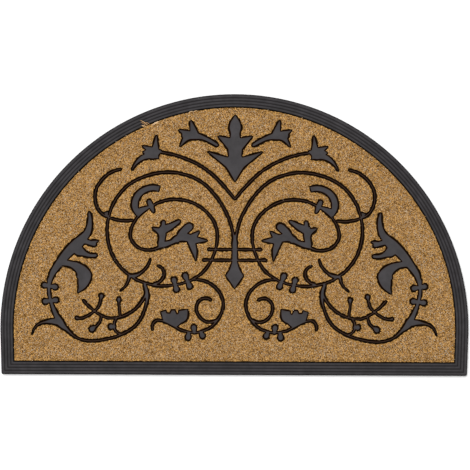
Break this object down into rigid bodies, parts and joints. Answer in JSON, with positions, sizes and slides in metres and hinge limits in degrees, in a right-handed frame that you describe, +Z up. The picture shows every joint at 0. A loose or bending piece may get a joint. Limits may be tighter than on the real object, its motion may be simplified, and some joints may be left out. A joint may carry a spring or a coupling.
{
  "type": "coir doormat",
  "caption": "Half-round doormat: a moulded rubber tray with a ribbed frame and raised scrollwork, its fields filled with coir pile.",
  "frame": {"origin": "under the middle of the mat's box, on the floor", "axes": "+X along the straight edge, +Y towards the top of the arch, +Z up out of the pile"},
  "size_m": [0.75, 0.45, 0.01],
  "materials": {
    "rubber": "matte charcoal moulded rubber",
    "coir": "short upright coir pile, golden brown with darker and paler fibres"
  },
  "bodies": {
    "root": {"rubber_tray": "rubber", "coir_field": "coir", "coir_scroll_left": "coir", "coir_scroll_right": "coir", "coir_arch_left": "coir", "coir_arch_right": "coir", "coir_crescent_left": "coir", "coir_crescent_right": "coir", "coir_crossbar_left": "coir", "coir_crossbar_right": "coir"}
  },
  "joints": []
}
